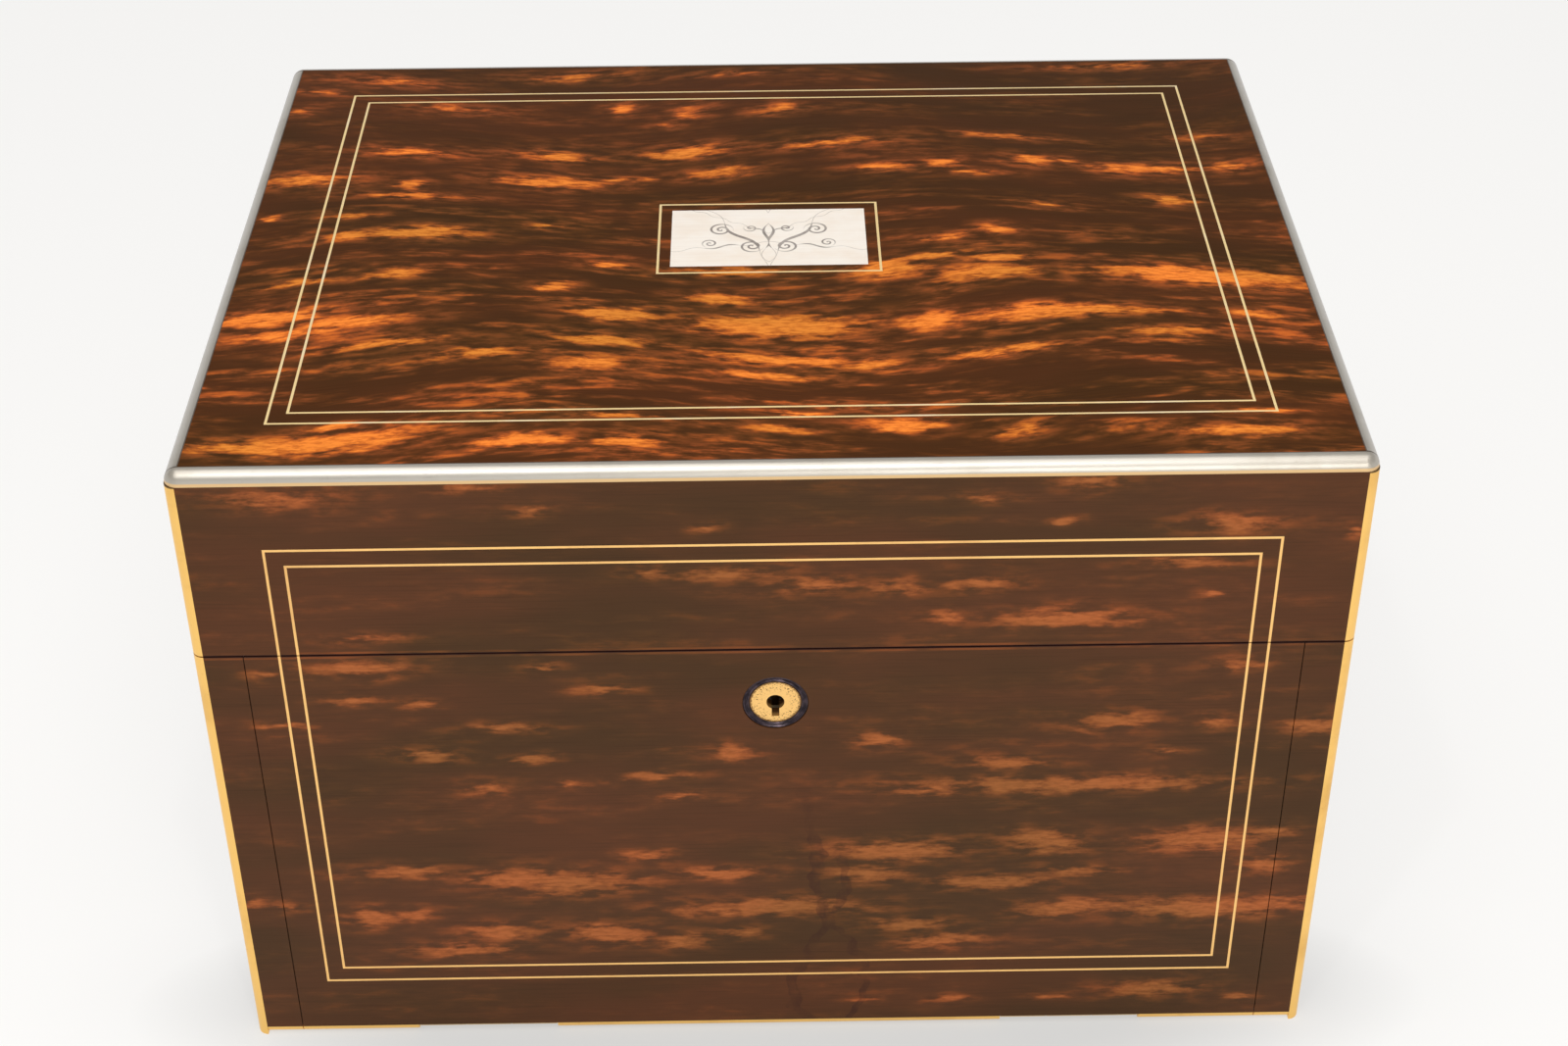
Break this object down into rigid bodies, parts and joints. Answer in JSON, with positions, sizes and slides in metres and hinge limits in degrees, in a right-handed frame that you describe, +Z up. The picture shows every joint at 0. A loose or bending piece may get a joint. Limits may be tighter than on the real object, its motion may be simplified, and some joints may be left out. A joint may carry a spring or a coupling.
{
  "type": "fitted dressing box",
  "caption": "Veneered dressing box with a hinged lid, drop-down mirror, fall front over drawers, and a tray of glass bottles and jars.",
  "frame": {"origin": "middle of the bounding box on the underside the box stands on", "axes": "+X to the right of the box, +Y to its back where the lid hinges, +Z up; the fall front faces -Y"},
  "size_m": [0.305, 0.238, 0.198],
  "materials": {
    "coromandel_veneer": "gloss French polish",
    "mahogany": "satin polish",
    "nickel_edging": "polished nickel silver",
    "gilt_brass": "polished",
    "brass": "polished, a little worn",
    "steel": "satin",
    "silver_plate": "satin",
    "velvet": "silk velvet, close pile",
    "leather": "smooth, gilt tooled",
    "silk": "ribbed silk ribbon",
    "cut_glass": "clear, cut",
    "mirror_glass": "silvered plate, bevelled edge"
  },
  "bodies": {
    "carcase": {"side_boards": "mahogany", "back_board": "mahogany", "base_board": "mahogany", "underside_lining": "velvet", "inner_front_board": "mahogany", "dust_board": "mahogany", "drawer_divider": "mahogany", "base_veneers": "coromandel_veneer", "base_corner_edging": "gilt_brass", "base_foot_edging": "gilt_brass", "quadrant_base_plates": "brass", "lid_hinge_base_leaves": "brass", "fall_hinge_base_leaves": "brass", "hinge_pins": "steel", "tray_bottom": "velvet", "tray_frame": "velvet", "tray_partitions": "velvet", "scent_bottles": "cut_glass", "bottle_caps": "silver_plate", "glass_jars": "cut_glass", "jar_lids": "silver_plate", "tool_pad": "velvet"},
    "lid": {"lid_side_rails": "mahogany", "lid_front_rail": "mahogany", "lid_back_rail": "mahogany", "lid_top_board": "mahogany", "lid_side_veneers": "coromandel_veneer", "lid_front_veneer": "coromandel_veneer", "lid_front_stringing": "brass", "lid_top_veneer": "coromandel_veneer", "lid_top_stringing": "brass", "lid_plate": "silver_plate", "lid_corner_edging": "gilt_brass", "lid_top_edging": "nickel_edging", "lid_hinge_lid_leaves": "brass", "quadrant_lid_plates": "brass", "lock_link_plate": "brass", "document_wallet": "leather"},
    "stays": {"quadrant_stays": "brass"},
    "mirror": {"mirror_frame": "coromandel_veneer", "mirror_glass": "mirror_glass", "mirror_pivots": "steel", "mirror_ribbon_tab": "silk"},
    "fall_front": {"fall_panel": "mahogany", "fall_veneer": "coromandel_veneer", "fall_stringing": "brass", "fall_foot_edging": "gilt_brass", "fall_inner_lining": "velvet", "fall_hinge_fall_leaves": "brass", "lock_case": "brass", "lock_cap": "brass", "lock_nozzle": "brass"},
    "lock_bolt": {"lock_bolt": "steel"},
    "lower_drawer": {"lower_drawer_front": "coromandel_veneer", "lower_drawer_box": "mahogany", "lower_drawer_knobs": "brass"},
    "upper_drawer": {"upper_drawer_front": "coromandel_veneer", "upper_drawer_box": "mahogany", "upper_drawer_knobs": "brass"}
  },
  "joints": [
    {"name": "lid_hinge", "type": "hinge", "parent": "carcase", "child": "lid", "pos_m": [0, 0.1166, 0.1405], "axis": [-1, 0, 0], "range_deg": [0, 95]},
    {"name": "stay_turn", "type": "hinge", "parent": "carcase", "child": "stays", "pos_m": [0, 0.1166, 0.1405], "axis": [-1, 0, 0], "range_deg": [0, 47.5]},
    {"name": "mirror_drop", "type": "hinge", "parent": "lid", "child": "mirror", "pos_m": [0, 0.099, 0.179], "axis": [1, 0, 0], "range_deg": [0, 25]},
    {"name": "fall_front_hinge", "type": "hinge", "parent": "carcase", "child": "fall_front", "pos_m": [0, -0.116, 0.003], "axis": [1, 0, 0], "range_deg": [0, 90]},
    {"name": "lock_bolt_slide", "type": "slide", "parent": "fall_front", "child": "lock_bolt", "axis": [1, 0, 0], "range_m": [0, 0.004]},
    {"name": "lower_drawer_slide", "type": "slide", "parent": "carcase", "child": "lower_drawer", "axis": [0, -1, 0], "range_m": [0, 0.12]},
    {"name": "upper_drawer_slide", "type": "slide", "parent": "carcase", "child": "upper_drawer", "axis": [0, -1, 0], "range_m": [0, 0.12]}
  ],
  "couplings": [
    {"joint": "stay_turn", "follows": "lid_hinge", "ratio": 0.5},
    {"joint": "mirror_drop", "follows": "lid_hinge", "ratio": 0.26},
    {"joint": "lower_drawer_slide", "follows": "fall_front_hinge", "m_per_rad": 0.013},
    {"joint": "upper_drawer_slide", "follows": "fall_front_hinge", "m_per_rad": 0.053}
  ]
}
